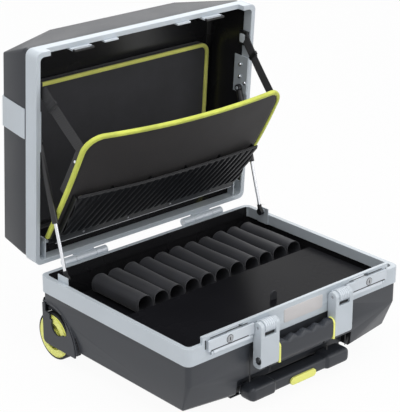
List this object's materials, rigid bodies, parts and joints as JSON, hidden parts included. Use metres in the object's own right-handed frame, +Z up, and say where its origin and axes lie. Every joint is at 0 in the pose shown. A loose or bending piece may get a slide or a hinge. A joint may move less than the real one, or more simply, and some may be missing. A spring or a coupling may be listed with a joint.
{
  "type": "rolling tool case",
  "caption": "Hard rolling tool case lying open on its back shell, with gas struts, a folding tool pallet, a sleeved lift-out board, latches, carry handle and pull-out trolley.",
  "frame": {"origin": "middle of the open case's outline on the floor it rests on", "axes": "+X along the hinge to the right, +Y towards the hinge and lid, +Z up"},
  "size_m": [0.495, 0.5339, 0.5581],
  "materials": {
    "shell": "fine grain",
    "silver_plastic": "satin silver",
    "bright_silver": "satin silver",
    "dark_plastic": "fine grain",
    "black_plastic": "matt",
    "board_lining": "matt cloth over a stiff board",
    "rubber_foot": "matt",
    "tyre": "matt",
    "lime": "gloss",
    "lime_piping": "soft piping",
    "channel": "satin",
    "steel": "satin",
    "bracket": "satin silver",
    "strut_black": "satin black",
    "rod_chrome": "polished",
    "sleeve_fabric": "smooth coated cloth",
    "webbing": "woven"
  },
  "bodies": {
    "base": {"base_shell": "shell", "base_frame": "silver_plastic", "board_rails": "dark_plastic", "trolley_housing": "dark_plastic", "front_feet": "rubber_foot", "trolley_channels": "channel", "wheel_axles": "steel", "wheel_cover_left": "dark_plastic", "wheel_cover_right": "dark_plastic", "latch_pins": "steel", "handle_barrels": "bright_silver", "handle_pins": "steel", "hinge_base_leaves": "bright_silver", "hinge_pins": "steel", "hinge_screws": "steel", "base_studs": "bracket"},
    "lid": {"lid_shell": "shell", "lid_frame": "silver_plastic", "lid_band": "silver_plastic", "lid_catches": "bright_silver", "hinge_lid_leaves": "bright_silver", "stand_feet": "rubber_foot", "document_board": "board_lining", "document_piping": "lime_piping", "pallet_brackets": "bracket", "strap_left": "webbing", "strap_right": "webbing", "strap_anchors": "black_plastic", "lid_brackets": "bracket", "bracket_screws": "steel"},
    "pallet": {"pallet_board": "board_lining", "pallet_piping": "lime_piping", "pallet_loops": "black_plastic", "pallet_rail": "dark_plastic"},
    "strut_tube_left": {"strut_tube_left": "strut_black"},
    "strut_tube_right": {"strut_tube_right": "strut_black"},
    "strut_rod_left": {"strut_rod_left": "rod_chrome", "strut_socket_left": "black_plastic"},
    "strut_rod_right": {"strut_rod_right": "rod_chrome", "strut_socket_right": "black_plastic"},
    "carry_handle": {"handle_arm_left": "silver_plastic", "handle_arm_right": "silver_plastic", "handle_grip": "dark_plastic", "handle_rings": "lime", "handle_screws": "steel"},
    "latch_left": {"latch_left": "bright_silver"},
    "latch_right": {"latch_right": "bright_silver"},
    "lock_left": {"lock_left": "steel"},
    "lock_right": {"lock_right": "steel"},
    "trolley_middle": {"trolley_middle_tubes": "channel"},
    "trolley_inner": {"trolley_inner_tubes": "channel", "trolley_grip": "dark_plastic"},
    "trolley_button": {"trolley_button": "lime"},
    "wheel_left": {"tyre_left": "tyre", "rim_left": "lime"},
    "wheel_right": {"tyre_right": "tyre", "rim_right": "lime"},
    "tool_board": {"tool_board": "dark_plastic", "tool_sleeves": "sleeve_fabric", "board_tab": "sleeve_fabric"}
  },
  "joints": [
    {"name": "lid_hinge", "type": "hinge", "parent": "base", "child": "lid", "pos_m": [0, 0.156, 0.156], "axis": [-1, 0, 0], "range_deg": [-86, 0]},
    {"name": "pallet_tilt", "type": "hinge", "parent": "lid", "child": "pallet", "pos_m": [0, 0.1637, 0.20365], "axis": [1, 0, 0], "range_deg": [-33, 0], "deforming": ["strap_left", "strap_right"]},
    {"name": "strut_left_swing", "type": "hinge", "parent": "lid", "child": "strut_tube_left", "pos_m": [-0.2305, 0.1545, 0.39247], "axis": [-1, 0, 0], "range_deg": [-16.2, 0]},
    {"name": "strut_left_slide", "type": "slide", "parent": "strut_tube_left", "child": "strut_rod_left", "axis": [0, -0.2684, -0.9633], "range_m": [-0.07, 0]},
    {"name": "strut_right_swing", "type": "hinge", "parent": "lid", "child": "strut_tube_right", "pos_m": [0.2305, 0.1545, 0.39247], "axis": [-1, 0, 0], "range_deg": [-16.2, 0]},
    {"name": "strut_right_slide", "type": "slide", "parent": "strut_tube_right", "child": "strut_rod_right", "axis": [0, -0.2684, -0.9633], "range_m": [-0.07, 0]},
    {"name": "carry_handle_hinge", "type": "hinge", "parent": "base", "child": "carry_handle", "pos_m": [0, -0.256, 0.154], "axis": [-1, 0, 0], "range_deg": [0, 90]},
    {"name": "latch_left_hinge", "type": "hinge", "parent": "base", "child": "latch_left", "pos_m": [-0.1585, -0.2485, 0.139], "axis": [1, 0, 0], "range_deg": [0, 70]},
    {"name": "lock_left_turn", "type": "hinge", "parent": "latch_left", "child": "lock_left", "pos_m": [-0.163, -0.2485, 0.1525], "axis": [0, 1, 0], "range_deg": [0, 90]},
    {"name": "latch_right_hinge", "type": "hinge", "parent": "base", "child": "latch_right", "pos_m": [0.1585, -0.2485, 0.139], "axis": [1, 0, 0], "range_deg": [0, 70]},
    {"name": "lock_right_turn", "type": "hinge", "parent": "latch_right", "child": "lock_right", "pos_m": [0.163, -0.2485, 0.1525], "axis": [0, -1, 0], "range_deg": [0, 90]},
    {"name": "trolley_middle_slide", "type": "slide", "parent": "base", "child": "trolley_middle", "axis": [0, -1, 0], "range_m": [0, 0.28]},
    {"name": "trolley_inner_slide", "type": "slide", "parent": "trolley_middle", "child": "trolley_inner", "axis": [0, -1, 0], "range_m": [0, 0.28]},
    {"name": "trolley_button_press", "type": "slide", "parent": "trolley_inner", "child": "trolley_button", "axis": [0, 1, 0], "range_m": [0, 0.003], "stiffness_N_per_m": 400},
    {"name": "wheel_left_spin", "type": "hinge", "parent": "base", "child": "wheel_left", "pos_m": [-0.228, 0.119, 0.044], "axis": [1, 0, 0], "continuous": true},
    {"name": "wheel_right_spin", "type": "hinge", "parent": "base", "child": "wheel_right", "pos_m": [0.228, 0.119, 0.044], "axis": [1, 0, 0], "continuous": true},
    {"name": "tool_board_lift", "type": "slide", "parent": "base", "child": "tool_board", "axis": [0, 0, 1], "range_m": [0, 0.055]}
  ],
  "couplings": [
    {"joint": "pallet_tilt", "follows": "lid_hinge", "ratio": 0.3837},
    {"joint": "strut_left_swing", "follows": "lid_hinge", "ratio": 0.18842},
    {"joint": "strut_left_slide", "follows": "lid_hinge", "m_per_rad": 0.046633},
    {"joint": "strut_right_swing", "follows": "lid_hinge", "ratio": 0.18842},
    {"joint": "strut_right_slide", "follows": "lid_hinge", "m_per_rad": 0.046633}
  ]
}
